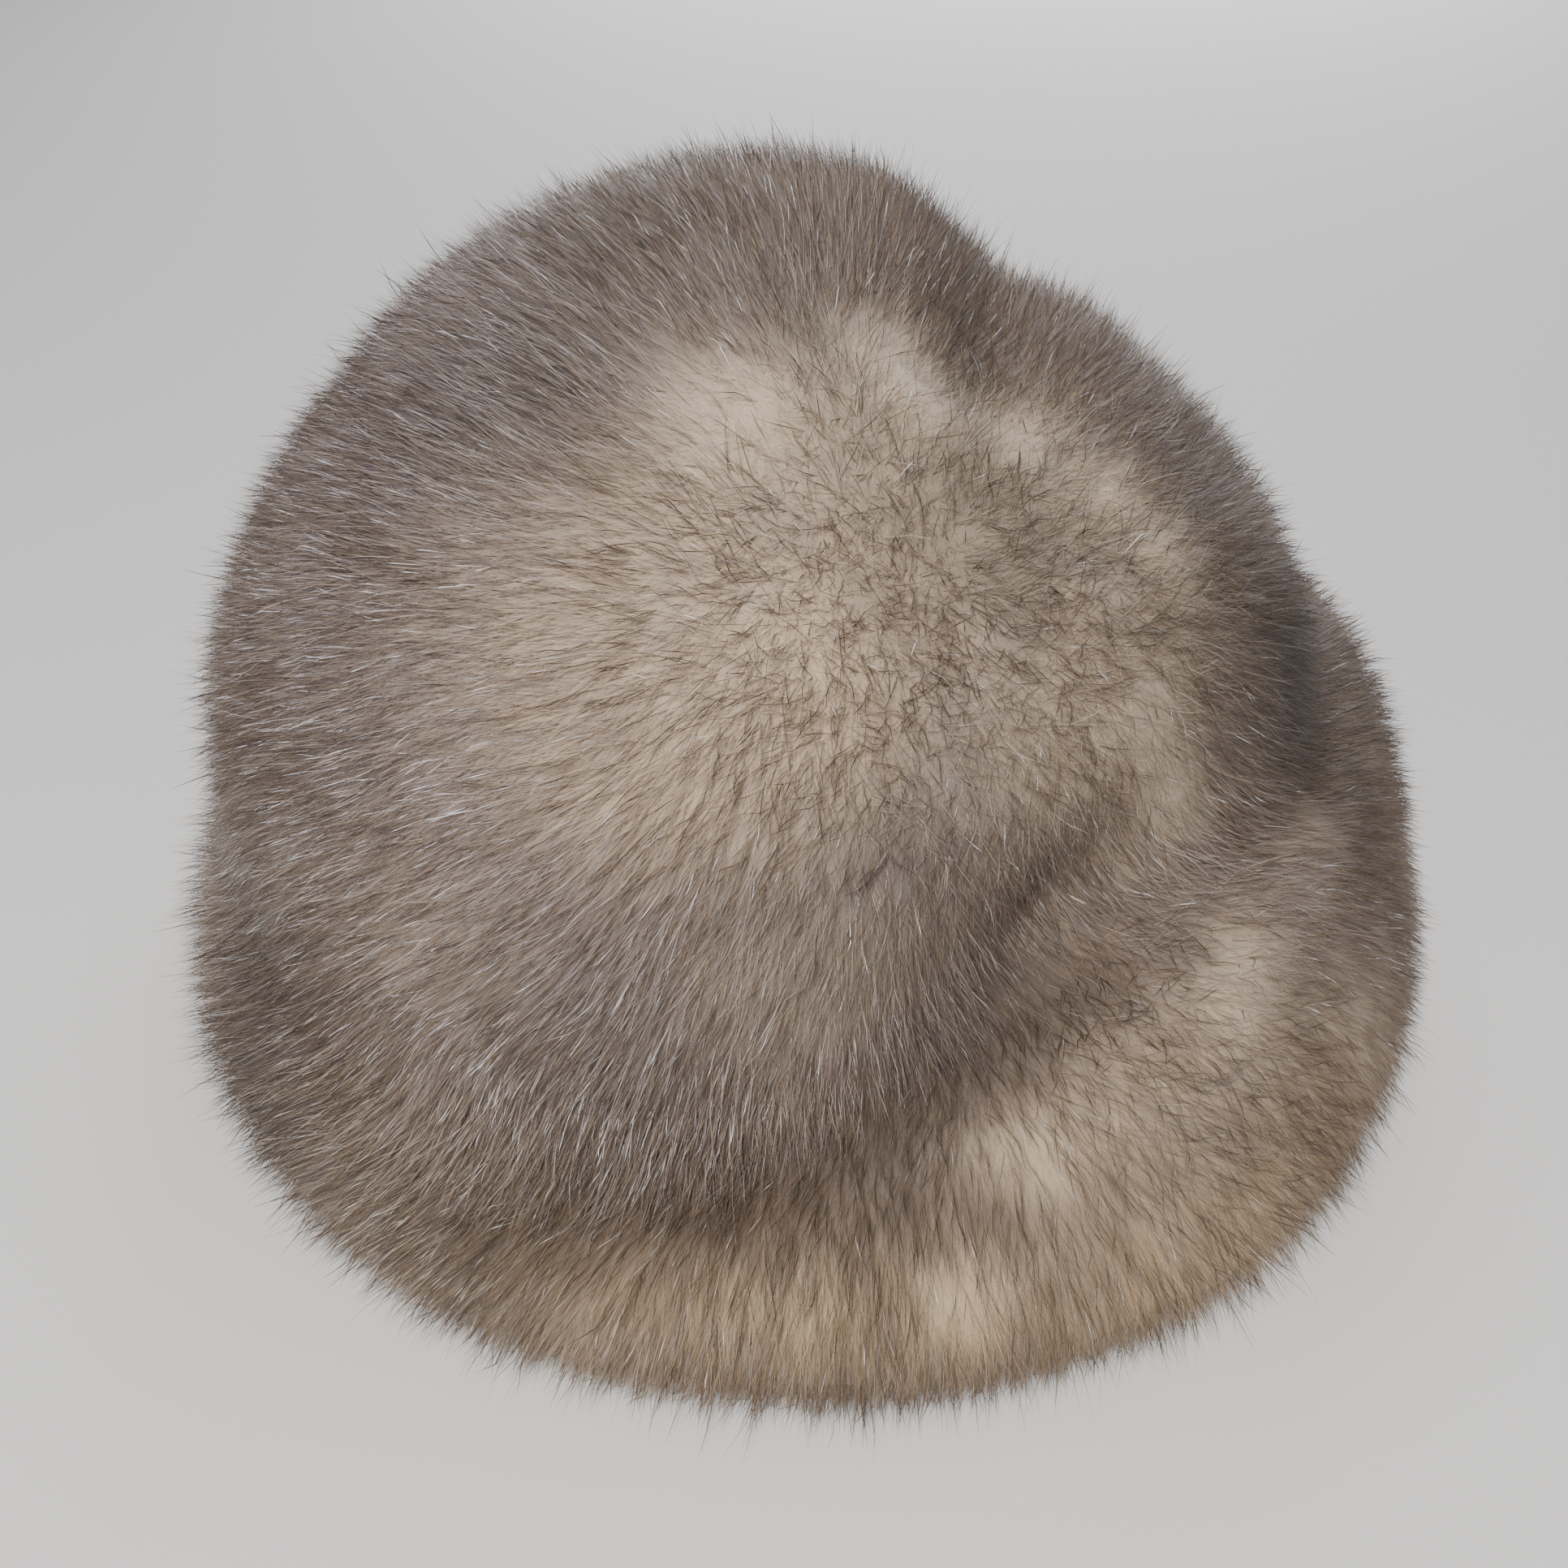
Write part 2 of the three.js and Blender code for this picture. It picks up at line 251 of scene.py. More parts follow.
class Waves:
    """Smooth noise from about -1 to 1 over space, with cells of a given size in millimetres."""

    SPAN = 32
    SHIFT = 100
    GAIN = 1.6

    def __init__(self, cell, seed):
        self.cell = cell
        self.values = np.random.default_rng(seed).uniform(-1, 1, (self.SPAN,) * 3)

    def __call__(self, points):
        place = points / self.cell + self.SHIFT
        low = np.floor(place).astype(int)
        t = place - low
        t = t * t * (3 - 2 * t)
        total = 0
        for i, j, k in np.ndindex(2, 2, 2):
            weight = (np.abs(1 - i - t[..., 0]) * np.abs(1 - j - t[..., 1])
                      * np.abs(1 - k - t[..., 2]))
            x, y, z = np.moveaxis((low + (i, j, k)) % self.SPAN, -1, 0)
            total = total + weight * self.values[x, y, z]
        return total * self.GAIN


# Noise for how far the coat opens, how its hair leans and lifts, and how its tone drifts
OPEN_WAVES = Waves(34, 10)
LEAN_FINE = Waves(6, 11)
LEAN_WIDE = Waves(24, 12)
LIFT_WAVES = Waves(15, 13)
TONE_WAVES = Waves(30, 14)
MOTTLE = Waves(7, 15)

# Spots where the pale underfur lies open: x, y, z, radius and strength of each
PATCHES = [
    (-19, -46, 146, 12.5, 0.9),
    (11, -32, 145, 12, 1.2),
    (26, -34, 136.5, 8.5, 1.0),
    (42, -40, 129, 9, 0.65),
    (53, -43, 121, 9, 0.5),
    (49, -67, 100, 8, 0.8),
    (52, -60, 86, 8, 0.8),
    (57, -54, 73, 9, 0.7),
    (70, -71, 54, 8, 0.65),
    (65, -80, 54, 8, 0.6),
    (86, -41, 57, 8, 0.5),
    (24, -109, 47, 6.5, 0.75),
    (31, -108, 44, 6.5, 0.65),
    (18, -124, 28, 9, 0.85),
    (-6, -125, 28, 9, 0.5),
    (-18, -126, 29, 9, 0.35),
    (-45, -122, 18, 13, 0.3),
]

# Spots where many hairs at once get a painted glint of light, in the same terms
GLEAMS = [
    (-59, -96, 57, 11, 1),
    (-91, -74, 80, 10, 1),
    (-34, -106, 53, 10, 1),
    (-78, -107, 22, 9, 1),
    (-60, -84, 100, 9, 1),
    (32, -108, 43, 6, 1),
    (104, -50, 36, 6, 1),
]

# How far the coat lies open where no region says more, and how much that drifts
OPEN_BASE = 0.14
OPEN_DRIFT = 0.22

# Where the coat lies open to its warm underfur: middle, half sizes and strength of each region
OPEN = [
    ((-29, -80, 120), (47, 42, 29), 1.0),
    ((-2, -101, 76), (30, 20, 20), 0.42),
    ((-69, -91, 82), (26, 20, 24), 0.5),
    ((14, -56, 130), (44, 40, 25), 0.75),
    ((40, -67, 110), (32, 34, 32), 0.82),
    ((0, -122, 26), (56, 16, 13), 0.54),
    ((48, -60, 78), (16, 14, 18), 0.9),
    ((58, -96, 40), (36, 30, 20), 0.8),
    ((66, -110, 24), (46, 30, 19), 1.0),
    ((98, -80, 26), (34, 30, 24), 0.6),
]

# Where shade is painted on the coat, or its hair is darker: middle, half sizes and the share of
# its light that is left
PAINTED_SHADE_AND_DARK = [
    ((84, -33, 84), (17, 24, 26), 0.42),
    ((76, -32, 98), (14, 18, 20), 0.68),
    ((66, -44, 98), (15, 15, 20), 0.74),
    ((98, -38, 56), (16, 16, 13), 0.7),
    ((98, -2, 66), (26, 34, 24), 0.6),
    ((64, -26, 118), (20, 26, 18), 0.7),
    ((56, -58, 108), (18, 20, 22), 0.8),
    ((102, -48, 48), (20, 26, 20), 0.82),
    ((-44, -104, 66), (30, 22, 20), 0.85),
    ((20, -14, 141), (7, 26, 16), 0.75),
    ((18.5, -28, 139), (6, 8, 8), 0.72),
    ((16, -57, 129), (22, 20, 16), 0.72),
    ((18, -46, 135), (8, 7, 8), 0.82),
    ((-56, -16, 140), (60, 44, 40), 0.76),
    ((-14, -110, 42), (40, 14, 12), 0.72),
    ((22, -82, 56), (22, 16, 14), 0.62),
    ((52, -74, 58), (14, 12, 10), 0.94),
    ((8, -96, 50), (15, 13, 12), 0.78),
    ((-110, -40, 60), (34, 60, 50), 0.85),
    ((-104, -66, 50), (22, 24, 20), 0.74),
    ((-114, -84, 14), (34, 42, 25), 0.54),
    ((-58, -108, 30), (26, 16, 14), 0.82),
    ((-58, -42, 142), (18, 16, 14), 0.84),
]

# A region is full up to the first of these shares of its half sizes, and gone at the second
OPEN_EDGES = (0.35, 1.5)
SHADE_EDGES = (0.3, 1.4)

# The valley along the seam, darkened toward the guard hair's colour, partly as painted shade and
# partly as the guard hair seen there: a line of points and its reach
VALLEY = np.array([
    (-78, -85, 34), (-45, -101, 36), (-14, -107, 42), (8, -95, 50), (27, -80, 56), (42, -72, 58),
], float)
VALLEY_REACH = 13

# Where the hair lies in all directions: middle, how far it all does, how far any does, strength
MESSES = [
    (WHORL_POINT + [6, -2, -6], 14, 64, 1),
    (np.array([66, -86, 50]), 14, 46, 0.45),
]

# What the brim's right takes from the hair's length and the foot of the front adds to it, the
# heights over which each fades out, and the cosines off its middle over which each comes in
RIGHT_SHORT, BRIM_Z, RIGHT_COSINES = 0.25, (56, 74), (0.5, 0.95)
FOOT_LONG, FOOT_Z, FRONT_COSINES = 0.2, (30, 60), (0.6, 0.95)


def spots_share(points, spots):
    """The most that any spot gives: its strength in its middle, and less with the distance."""
    share = np.zeros(points.shape[:-1])
    for x, y, z, radius, strength in spots:
        far = np.linalg.norm(points - np.array([x, y, z]), axis=-1) / radius
        share = np.maximum(share, strength * np.exp(-far ** 2))
    return share


def region_share(points, middle, half, edges):
    """1 in the core of a soft region, and 0 outside it."""
    far = np.linalg.norm((points - np.array(middle, float)) / np.array(half, float), axis=-1)
    return 1 - smooth(far, *edges)


def painted_shade_and_dark_left(points):
    """The share of its light that is left to the coat after the painted shade and darker hair of
    all regions.
    """
    left = np.ones(points.shape[:-1])
    for middle, half, rest in PAINTED_SHADE_AND_DARK:
        left *= 1 - (1 - rest) * region_share(points, middle, half, SHADE_EDGES)
    return left


def open_share(points):
    """How far the coat lies open to its underfur, from 0 to 1."""
    share = OPEN_BASE + OPEN_DRIFT * OPEN_WAVES(points)
    for middle, half, strength in OPEN:
        share = np.maximum(share, strength * region_share(points, middle, half, OPEN_EDGES))
    return np.clip(share, 0, 1)


def valley_shade_share(points):
    """1 in the valley along the seam, where shade is partly painted, and 0 far from it."""
    far = np.min([off_line(points, a, b) for a, b in zip(VALLEY[:-1], VALLEY[1:])], axis=0)
    return np.exp(-(far / VALLEY_REACH) ** 2)


def mess_share(points):
    """1 around the whorl, where the hair lies in all directions, less on the brim, 0 far away."""
    mess = np.zeros(points.shape[:-1])
    for middle, full, gone, strength in MESSES:
        near = 1 - smooth(np.linalg.norm(points - middle, axis=-1), full, gone)
        mess = np.maximum(mess, strength * near)
    return mess


def length_share(points):
    """The hair is longest at the foot of the front and shortest on the brim's right."""
    azimuth = np.degrees(np.arctan2(points[..., 1], points[..., 0]))
    low = 1 - smooth(points[..., 2], *FOOT_Z)
    right = smooth(np.cos(np.radians(azimuth)), *RIGHT_COSINES)
    front = smooth(np.cos(np.radians(azimuth + 90)), *FRONT_COSINES)
    brim = 1 - smooth(points[..., 2], *BRIM_Z)
    return 1 - RIGHT_SHORT * right * brim + FOOT_LONG * front * low


def scattered(surface, low, high, count, rng):
    """Azimuth and along of points spread evenly over a skin between two shares of it."""
    rows, columns = 120, 360
    along = np.linspace(low, high, rows + 1)
    azimuth = np.arange(columns + 1.0)
    grid = surface(azimuth[None, :], along[:, None])
    down, across = grid[1:, :-1] - grid[:-1, :-1], grid[:-1, 1:] - grid[:-1, :-1]
    area = np.linalg.norm(np.cross(down, across), axis=-1)
    area[1::2] = area[1::2, ::-1]
    total = np.cumsum(area.ravel())
    pick = (np.arange(count) + rng.random(count)) / count * total[-1]
    cell = np.minimum(np.searchsorted(total, pick), rows * columns - 1)
    row, column = cell // columns, cell % columns
    column = np.where(row % 2 == 1, columns - 1 - column, column)
    step = (high - low) / rows
    return column + rng.random(count), low + (row + rng.random(count)) * step


# The underfur: cream, paler in the patches, ashy where the coat is closed, silver where grey
CREAM = np.array([0.56, 0.43, 0.30])
PALE = np.array([0.555, 0.455, 0.35])
ASH = np.array([0.165, 0.135, 0.130])
SILVER = np.array([0.34, 0.29, 0.27])

# The guard hair: its own taupe, its darkest and brightest tips, and the white painted on a
# glinting hair as a highlight
TAUPE = np.array([0.17, 0.122, 0.092])
DARK = np.array([0.055, 0.036, 0.025])
BRIGHT = np.array([0.42, 0.365, 0.345])
PAINTED_GLINT_WHITE = np.array([0.86, 0.88, 0.95])

# What the painted warm bounce light at the foot of the front and the cooler upper left add to
# red, green and blue, and between which heights, and which distances to the front or left, each
# comes in
FOOT_BOUNCE_LIGHT = np.array([0.02, -0.05, -0.19])
FOOT_BOUNCE_Z, FOOT_BOUNCE_FRONT = (20, 56), (30, 118)
LEFT_CAST = np.array([0, 0, 0.06])
LEFT_CAST_Z, LEFT_CAST_LEFT = (60, 110), (0, 70)

# How far hairs differ in shade: what the right and the low front take from that and the left
# adds, and the ranges in x, and in z and x off a middle, over which they do
CALM_RIGHT, CALM_RIGHT_X = 0.6, (66, 90)
LIVELY_LEFT, LIVELY_LEFT_X = 0.5, (-10, 60)
CALM_FRONT, CALM_FRONT_Z, CALM_FRONT_X, CALM_FRONT_MIDDLE = 0.35, (44, 62), (40, 64), 24

# How much of the underfur's cream turns grey, and what changes that
UNDER_GREY = 0.20
SHELL_GREY = 0.24
GREY_DRIFT = 0.15
UNDER_MOTTLE = 0.12
SHELL_MOTTLE = 0.15
GROUP_GREY = 0.15
OWN_GREY = 0.18
PATCH_GREY = 0.4
SILVER_SHARE = 0.55

# The light on the shell, at the root of the under hair and gained up to its tip, and its spread
SHELL_LIGHT = 0.9
ROOT_LIGHT = 0.72
TIP_GAIN = 0.38
OWN_LIGHT = 0.09

# How far the valley is darkened, partly as painted shade, and its tone against the guard hair's
VALLEY_SHADE_SHARE = 0.85
VALLEY_LIGHT = 1.1

# The guard hair's shade, from 0 for bright to 1 for dark, and what changes it
GUARD_SHADE = 0.72
SHADE_DRIFT = 0.2
SHADE_MESS = 0.13
SHADE_PATCH = 0.3
SHADE_OPEN = 0.1
SHADE_GROUP = 0.15
SHADE_BOLD = 0.4
SHADE_OWN = 0.3
BOLD_SHARE = 0.28
DARK_FROM = 0.9

# The guard hair's root is shaded cream, up to where its own colour begins
ROOT_CREAM = 0.7
ROOT_FADE = (-0.1, 0.35)


def mix(a, b, share):
    return a + (b - a) * np.asarray(share)[..., None]


def painted_bounce_and_cool_left(points):
    """The coat gets painted warm bounce light at the foot of the front, and is a little cooler on
    its upper left.
    """
    low = 1 - smooth(points[..., 2], *FOOT_BOUNCE_Z)
    low = low * smooth(-points[..., 1], *FOOT_BOUNCE_FRONT)
    left = smooth(-points[..., 0], *LEFT_CAST_LEFT) * smooth(points[..., 2], *LEFT_CAST_Z)
    return 1 + low[..., None] * FOOT_BOUNCE_LIGHT + left[..., None] * LEFT_CAST


def contrast(points):
    """How far hairs differ in shade: most on the left, less on the right and the low front."""
    right = smooth(points[:, 0], *CALM_RIGHT_X)
    left = smooth(-points[:, 0], *LIVELY_LEFT_X)
    low = 1 - smooth(points[:, 2], *CALM_FRONT_Z)
    front = 1 - smooth(np.abs(points[:, 0] - CALM_FRONT_MIDDLE), *CALM_FRONT_X)
    return 1 - CALM_RIGHT * right + LIVELY_LEFT * left - CALM_FRONT * low * front


def coat_tone(points, patch, grey):
    """The underfur's colour: cream where the coat lies open, ashy where it is closed, with
    painted shade in the valley and the regions and painted warm bounce light.
    """
    cream = mix(CREAM, PALE, np.clip(patch, 0, 1))
    base = mix(cream, mix(TAUPE, SILVER, SILVER_SHARE), grey)
    base = mix(ASH, base, np.clip(open_share(points) + patch, 0, 1))
    # Painted shade in the valley along the seam, partly also the guard hair seen there
    base = mix(base, TAUPE * VALLEY_LIGHT, VALLEY_SHADE_SHARE * valley_shade_share(points) * (1 - patch))
    # Painted shade and darker hair of the regions, and painted warm bounce light at the front's
    # foot
    return base * painted_bounce_and_cool_left(points) * painted_shade_and_dark_left(points)[..., None]


def guard_tone(rng, root, along, patch, mess, clump, glint, bold):
    """The guard hair's colour, from its cream root to its own tip, with a painted white highlight
    in a glint's middle, and painted shade and bounce light.
    """
    count = len(root)
    group = rng.random(clump.max() + 1)[clump]
    own = (SHADE_GROUP * (group - 0.5) + SHADE_BOLD * (bold - BOLD_SHARE)
           + SHADE_OWN * rng.normal(0, 1, count))
    shade = np.clip(GUARD_SHADE + SHADE_DRIFT * TONE_WAVES(root) + SHADE_MESS * mess
                    + own * contrast(root) - SHADE_PATCH * patch
                    - SHADE_OPEN * open_share(root), 0, 1)
    tip = mix(BRIGHT, TAUPE, np.clip(shade * 2, 0, 1))
    tip = mix(tip, DARK, np.clip(shade * 2 - DARK_FROM, 0, 1))
    colour = mix(CREAM * ROOT_CREAM, tip[:, None, :], smooth(along, *ROOT_FADE)[None, :])
    # Glinting hairs get a painted white highlight in their middle
    painted_glint = glint[:, None] * (1 - 2 * np.abs(along[None, :] - 0.5))
    colour = mix(colour, PAINTED_GLINT_WHITE, np.clip(painted_glint, 0, 1))
    # Painted shade and darker hair of the regions, and painted warm bounce light at the front's
    # foot
    return colour * (painted_bounce_and_cool_left(root) * painted_shade_and_dark_left(root)[:, None])[:, None, :]


def under_tone(rng, root, along, patch, clump, **_):
    """The under hair's colour: the underfur's, lighter up to the tip."""
    count = len(root)
    group = rng.random(clump.max() + 1)[clump]
    grey = np.clip(UNDER_GREY + GREY_DRIFT * TONE_WAVES(root) + UNDER_MOTTLE * MOTTLE(root)
                   + GROUP_GREY * (group - 0.5) + OWN_GREY * rng.normal(0, 1, count)
                   - PATCH_GREY * patch, 0, 1)
    base = coat_tone(root, patch, grey)
    own = 1 + OWN_LIGHT * rng.normal(0, 1, count)[:, None, None]
    return base[:, None, :] * (ROOT_LIGHT + TIP_GAIN * along[None, :, None]) * own


def link(piece):
    bpy.context.scene.collection.objects.link(piece)


def mesh_of(name, points, loops, sizes, tone, look, normals=None):
    """A smooth mesh from arrays: points in mm, each face's corners and size, colours, normals."""
    mesh = bpy.data.meshes.new(name)
    mesh.vertices.add(len(points))
    place = (points + MIDDLE) * MM
    mesh.vertices.foreach_set("co", place.astype(np.float32).ravel())
    mesh.loops.add(len(loops))
    mesh.loops.foreach_set("vertex_index", loops.astype(np.int32))
    mesh.polygons.add(len(sizes))
    starts = np.concatenate([[0], np.cumsum(sizes)[:-1]]).astype(np.int32)
    mesh.polygons.foreach_set("loop_start", starts)
    mesh.polygons.foreach_set("use_smooth", np.full(len(sizes), True))
    mesh.update(calc_edges=True)
    colour = mesh.color_attributes.new("tone", "FLOAT_COLOR", "POINT")
    tone = np.concatenate([tone, np.ones((len(tone), 1))], -1)
    colour.data.foreach_set("color", tone.astype(np.float32).ravel())
    if normals is not None:
        mesh.normals_split_custom_set_from_vertices(normals.astype(np.float32))
    mesh.materials.append(look)
    piece = bpy.data.objects.new(name, mesh)
    link(piece)
    return piece


# The material's noise has this detail, and goes from its darkest to its lightest between these
NOISE_DETAIL = 4
NOISE_LOW, NOISE_HIGH = 0.3, 0.7
SHEEN_ROUGHNESS = 0.5
SHEEN_TINT = (1.0, 0.94, 0.88, 1)

# The underfur's fuzz: how deep it is in metres, its grain and its detail
FUZZ_DEPTH = 0.0008
FUZZ_GRAIN = 1800
FUZZ_DETAIL = 3


def material(name, roughness, specular, sheen, grain, mottle, bump):
    """The mesh's own tone, mottled by a noise of a given grain, with a fuzzy relief if asked."""
    made = bpy.data.materials.new(name)
    made.use_nodes = True
    nodes, links = made.node_tree.nodes, made.node_tree.links
    shader = nodes["Principled BSDF"]
    shader.inputs["Roughness"].default_value = roughness
    shader.inputs["Specular IOR Level"].default_value = specular
    shader.inputs["Sheen Weight"].default_value = sheen
    shader.inputs["Sheen Roughness"].default_value = SHEEN_ROUGHNESS
    shader.inputs["Sheen Tint"].default_value = SHEEN_TINT
    tone = nodes.new("ShaderNodeAttribute")
    tone.attribute_name = "tone"
    coordinates = nodes.new("ShaderNodeTexCoord")
    noise = nodes.new("ShaderNodeTexNoise")
    noise.inputs["Scale"].default_value = grain
    noise.inputs["Detail"].default_value = NOISE_DETAIL
    links.new(coordinates.outputs["Object"], noise.inputs["Vector"])
    spread = nodes.new("ShaderNodeMapRange")
    spread.inputs["From Min"].default_value = NOISE_LOW
    spread.inputs["From Max"].default_value = NOISE_HIGH
    spread.inputs["To Min"].default_value = 1 - mottle
    spread.inputs["To Max"].default_value = 1 + mottle
    links.new(noise.outputs["Fac"], spread.inputs["Value"])
    times = nodes.new("ShaderNodeVectorMath")
    times.operation = "SCALE"
    links.new(tone.outputs["Color"], times.inputs[0])
    links.new(spread.outputs["Result"], times.inputs["Scale"])
    links.new(times.outputs["Vector"], shader.inputs["Base Color"])
    if bump:
        relief = nodes.new("ShaderNodeBump")
        relief.inputs["Strength"].default_value = bump
        relief.inputs["Distance"].default_value = FUZZ_DEPTH
        fine = nodes.new("ShaderNodeTexNoise")
        fine.inputs["Scale"].default_value = FUZZ_GRAIN
        fine.inputs["Detail"].default_value = FUZZ_DETAIL
        links.new(coordinates.outputs["Object"], fine.inputs["Vector"])
        links.new(fine.outputs["Fac"], relief.inputs["Height"])
        links.new(relief.outputs["Normal"], shader.inputs["Normal"])
    return made


GUARD_LOOK = material("guard_hair", roughness=0.26, specular=0.4, sheen=0.0, grain=260,
                      mottle=0.10, bump=0)
UNDER_LOOK = material("under_hair", roughness=0.7, specular=0.3, sheen=0.12, grain=220,
                      mottle=0.08, bump=0)
SKIN_LOOK = material("underfur", roughness=0.9, specular=0.3, sheen=0.2, grain=180,
                     mottle=0.10, bump=0.6)

# The two kinds of hair. Lengths and widths are in millimetres, and angles in degrees:
# clump, spread and depth: hairs that grow together, how far apart, and how deep in the skin
# length, uneven and width: the middle length, how far lengths differ, and the width at the root
# lift: off the skin at root and tip, with waves of it and each hair's own
# lean, yaw and curl: sideways turns, for the place, for a clump and for each hair
# clumping, roll and round: how far tips draw together, how ribbons turn, how round they shade
# glints, bold and strays: shares of hairs, glints with a painted highlight; thins: 1 where they
# get fewer as the coat lies open
GUARD = {
    "clump": 2, "spread": 0.5, "depth": -0.8, "length": 8.6, "uneven": 0.25, "width": 0.12,
    "lift": (50, 24), "lift_waves": 6, "lift_own": 9, "lean_wide": 10, "lean_fine": 6,
    "group_yaw": 8, "own_yaw": 8, "curl": 12, "clumping": 0.4, "roll": 60, "round": 0.3,
    "glints": 0.04, "bold": BOLD_SHARE, "strays": 0.05, "thins": 1,
    "tone": guard_tone, "look": GUARD_LOOK,
}
UNDER = {
    "clump": 6, "spread": 1.6, "depth": 0.2, "length": 6.5, "uneven": 0.2, "width": 0.11,
    "lift": (54, 20), "lift_waves": 7, "lift_own": 10, "lean_wide": 8, "lean_fine": 6,
    "group_yaw": 9, "own_yaw": 14, "curl": 18, "clumping": 0.15, "roll": 65, "round": 2.5,
    "glints": 0, "bold": 0, "strays": 0, "thins": 0,
    "tone": under_tone, "look": UNDER_LOOK,
}

# A hair is a ribbon in this many steps, the last one a triangle
STEPS = 2
LINE_SHARES = np.arange(STEPS + 1) / STEPS
BEND_POWER = 0.7

# What the mess around the whorl adds to yaw, curl and lift in degrees, and to the bold hairs
MESS_GROUP_YAW = 60
MESS_OWN_YAW = 10
MESS_CURL = 45
MESS_LIFT = 12
MESS_BOLD = 0.6
GROUP_CURL, OWN_CURL = 0.7, 0.5

# Hairs with a painted glint by place: everywhere, what the left adds, and what a gleam adds
GLINT_BASE = 0.3
GLINT_LEFT = 1.2
GLINT_LEFT_FROM, GLINT_LEFT_TO = -30, 90
GLINT_GLEAM = 3.5

# Lengths: the shortest and longest share, what the place changes, and those of glints and
# strays. GLINT_STEPS are a glint's first and last step as shares of its length.
SHORTEST, LONGEST = 0.45, 1.35
MESS_SHORT = 0.2
PATCH_SHORT = 0.15
SEAM_LONG = 0.1
GLINT_LENGTH = 0.55
GLINT_STEPS = (0.8, 0.2)
STRAY_LENGTH = 1.35

# Lifts of strays and glints in degrees, and the least and most at root and tip
STRAY_LIFT = 14
GLINT_LIFT = 6
ROOT_LIFTS = (20, 88)
TIP_LIFTS = (-5, 80)

# How tips draw together: the power along the hair, how far single hairs and the mess resist
PULL_POWER = 0.8
PULL_OWN = 0.6
PULL_MESS = 0.7

# The least height over the floor in millimetres, and how far it differs from hair to hair
FLOOR_LEAST = 0.4
FLOOR_SPREAD = 0.5

# A hair's width: its spread, its taper to the tip, and that of glints, bold and other hairs.
# EDGE_TURN is how far its normals turn out at its edges, so that it shades as if round.
WIDTHS = (0.7, 1.25)
TAPER = 0.75
TAPER_POWER = 1.5
GLINT_WIDTH, BOLD_WIDTH, FINE_WIDTH = 1.1, 1.7, 0.9
EDGE_TURN = 0.75


def centre_lines(root, normal, flow, side, kind, rng, clump, mess, patch):
    """The points along each hair, bent over along the fur, and which hairs glint or are bold."""
    count = len(root)
    group_count = clump.max() + 1
    lean = LEAN_WIDE(root) * kind["lean_wide"] + LEAN_FINE(root) * kind["lean_fine"]
    group_yaw = rng.normal(0, 1, group_count)[clump]
    own_yaw = rng.normal(0, 1, count)
    yaw = np.radians(lean + group_yaw * (kind["group_yaw"] + MESS_GROUP_YAW * mess)
                     + own_yaw * (kind["own_yaw"] + MESS_OWN_YAW * mess))
    group_curl = rng.normal(0, 1, group_count)[clump] * GROUP_CURL
    own_curl = rng.normal(0, 1, count) * OWN_CURL
    curl = np.radians((group_curl + own_curl) * (kind["curl"] + MESS_CURL * mess))
    glints = (GLINT_BASE + GLINT_LEFT * smooth(-root[:, 0], GLINT_LEFT_FROM, GLINT_LEFT_TO)
              + GLINT_GLEAM * spots_share(root, GLEAMS))
    glint = rng.random(count) < kind["glints"] * glints
    bold = (rng.random(count) < kind["bold"] * (1 + MESS_BOLD * mess)) & ~glint
    stray = rng.random(count) < kind["strays"]
    length = kind["length"] * (1 + kind["uneven"] * rng.normal(0, 1, count))
    length = np.clip(length, kind["length"] * SHORTEST, kind["length"] * LONGEST)
    length *= ((1 - MESS_SHORT * mess - PATCH_SHORT * patch + SEAM_LONG * seam_share(root))
               * np.where(glint, GLINT_LENGTH, 1.0))
    length *= np.where(stray, STRAY_LENGTH, 1.0)
    length *= length_share(root)
    lifts = LIFT_WAVES(root) * kind["lift_waves"] + rng.normal(0, 1, count) * kind["lift_own"]
    lifts += STRAY_LIFT * stray + GLINT_LIFT * glint
    root_lift, tip_lift = kind["lift"]
    root_lift = np.radians(np.clip(root_lift + lifts, *ROOT_LIFTS))
    tip_lift = np.radians(np.clip(tip_lift + lifts + MESS_LIFT * mess, *TIP_LIFTS))
    points = [root]
    for k in range(STEPS):
        share = (k + 0.5) / STEPS
        lift = root_lift + (tip_lift - root_lift) * share ** BEND_POWER
        turn = yaw + curl * share
        level = np.cos(turn)[:, None] * flow + np.sin(turn)[:, None] * side
        way = np.cos(lift)[:, None] * level + np.sin(lift)[:, None] * normal
        step = np.where(glint, GLINT_STEPS[k], 1 / STEPS)
        points.append(points[-1] + way * (length * step)[:, None])
    points = np.stack(points, 1)
    sums = np.zeros((group_count, STEPS + 1, 3))
    np.add.at(sums, clump, points)
    mean = sums / np.bincount(clump, minlength=group_count)[:, None, None]
    pull = kind["clumping"] * LINE_SHARES ** PULL_POWER
    pull = pull[None, :] * ((1 - PULL_OWN * rng.random(count)) * (1 - PULL_MESS * mess))[:, None]
    points += (mean[clump] - points) * pull[..., None]
    least = FLOOR_LEAST + FLOOR_SPREAD * rng.random((count, 1))
    points[..., 2] = np.maximum(points[..., 2], least)
    return points, glint, bold


